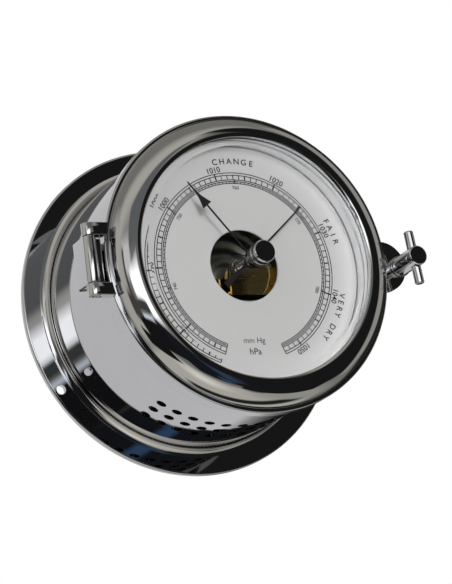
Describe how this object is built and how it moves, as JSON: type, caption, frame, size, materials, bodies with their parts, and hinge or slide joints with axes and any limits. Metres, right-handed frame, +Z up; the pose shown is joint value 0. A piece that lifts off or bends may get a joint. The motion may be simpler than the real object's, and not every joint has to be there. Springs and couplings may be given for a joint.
{
  "type": "ship barometer",
  "caption": "Round aneroid ship barometer in a chrome bulkhead case with a hinged glazed bezel, T-handle closure, set hand on a knob and an open-centre dial.",
  "frame": {"origin": "centre of the back face, on the bulkhead", "axes": "+Z up, +Y into the bulkhead, +X to the right of the dial as read; the dial faces -Y"},
  "size_m": [0.1865, 0.1074, 0.18],
  "materials": {
    "chrome": "polished",
    "silvered_dial": "satin",
    "black_enamel": "satin",
    "rubber": "matte",
    "glass": "clear, polished, bevelled edge",
    "capsule_metal": "dark oxidised",
    "steel": "bright",
    "brass": "bright lacquered"
  },
  "bodies": {
    "case": {"aneroid_capsule": "capsule_metal", "back_plate": "chrome", "back_screw_1": "steel", "back_screw_2": "steel", "back_screw_3": "steel", "back_screw_4": "steel", "base_flange": "chrome", "bridge_post_left": "brass", "bridge_post_right": "brass", "capsule_post": "brass", "case_gasket": "rubber", "case_tube": "chrome", "closure_lug": "chrome", "dial_pillar_1": "brass", "dial_pillar_2": "brass", "dial_pillar_3": "brass", "dial_plate": "silvered_dial", "dial_screw_1": "steel", "dial_screw_2": "steel", "dial_screw_3": "steel", "front_bridge": "brass", "front_bridge_pillar_1": "brass", "front_bridge_pillar_2": "brass", "hairspring": "steel", "hairspring_stud": "brass", "hinge_block": "chrome", "hinge_pin": "steel", "movement_plate": "brass", "pillar_screw_1": "steel", "pillar_screw_2": "steel", "pillar_screw_3": "steel", "rear_bridge": "brass", "rocker_bracket_left": "brass", "rocker_bracket_right": "brass", "seat_ring": "chrome"},
    "bezel": {"bezel_ring": "chrome", "bezel_glass": "glass", "glass_gasket": "rubber", "retaining_ring": "chrome", "hinge_lug_upper": "chrome", "hinge_lug_lower": "chrome", "closure_tab": "chrome", "glass_bush": "chrome", "bush_nut": "chrome"},
    "closure_washer": {"closure_washer": "chrome"},
    "t_screw": {"t_handle": "chrome", "t_bar": "chrome"},
    "set_knob": {"set_knob": "chrome", "set_spindle": "steel", "set_hand": "black_enamel"},
    "pointer": {"pointer": "black_enamel", "pointer_arbor": "steel"},
    "sector": {"sector_gear": "brass"},
    "rocker": {"rocker_shaft": "steel"},
    "capsule_stud": {"capsule_stud": "brass"},
    "adjuster": {"adjusting_screw": "brass"}
  },
  "joints": [
    {"name": "bezel_hinge", "type": "hinge", "parent": "case", "child": "bezel", "pos_m": [-0.0872, -0.0895, 0], "axis": [0, 0, -1], "range_deg": [0, 115]},
    {"name": "closure_slide", "type": "slide", "parent": "bezel", "child": "closure_washer", "axis": [0, -1, 0], "range_m": [0, 0.0056]},
    {"name": "t_screw_turn", "type": "hinge", "parent": "closure_washer", "child": "t_screw", "pos_m": [0.0903, -0.0844, 0], "axis": [0, -1, 0], "range_deg": [0, 2521]},
    {"name": "set_knob_turn", "type": "hinge", "parent": "bezel", "child": "set_knob", "pos_m": [0, -0.0978, 0], "axis": [0, 1, 0], "continuous": true},
    {"name": "pointer_turn", "type": "hinge", "parent": "case", "child": "pointer", "pos_m": [0, -0.07255, 0], "axis": [0, 1, 0], "range_deg": [-208.5, 111.5]},
    {"name": "sector_turn", "type": "hinge", "parent": "case", "child": "sector", "pos_m": [0.01666, -0.0714, -0.008], "axis": [0, 1, 0], "range_deg": [-11.3, 21]},
    {"name": "rocker_turn", "type": "hinge", "parent": "case", "child": "rocker", "pos_m": [0, -0.0641, -0.008], "axis": [1, 0, 0], "range_deg": [-3.9, 7.2]},
    {"name": "capsule_stud_slide", "type": "slide", "parent": "case", "child": "capsule_stud", "axis": [0, 1, 0], "range_m": [-0.001, 0.00053]},
    {"name": "adjusting_screw_turn", "type": "hinge", "parent": "case", "child": "adjuster", "pos_m": [0, -0.042, -0.039], "axis": [0, 1, 0], "range_deg": [-360, 360]}
  ],
  "couplings": [
    {"joint": "t_screw_turn", "follows": "closure_slide", "rad_per_m": 7854},
    {"joint": "pointer_turn", "follows": "capsule_stud_slide", "rad_per_m": 3650},
    {"joint": "sector_turn", "follows": "capsule_stud_slide", "rad_per_m": -365},
    {"joint": "rocker_turn", "follows": "capsule_stud_slide", "rad_per_m": -125}
  ]
}
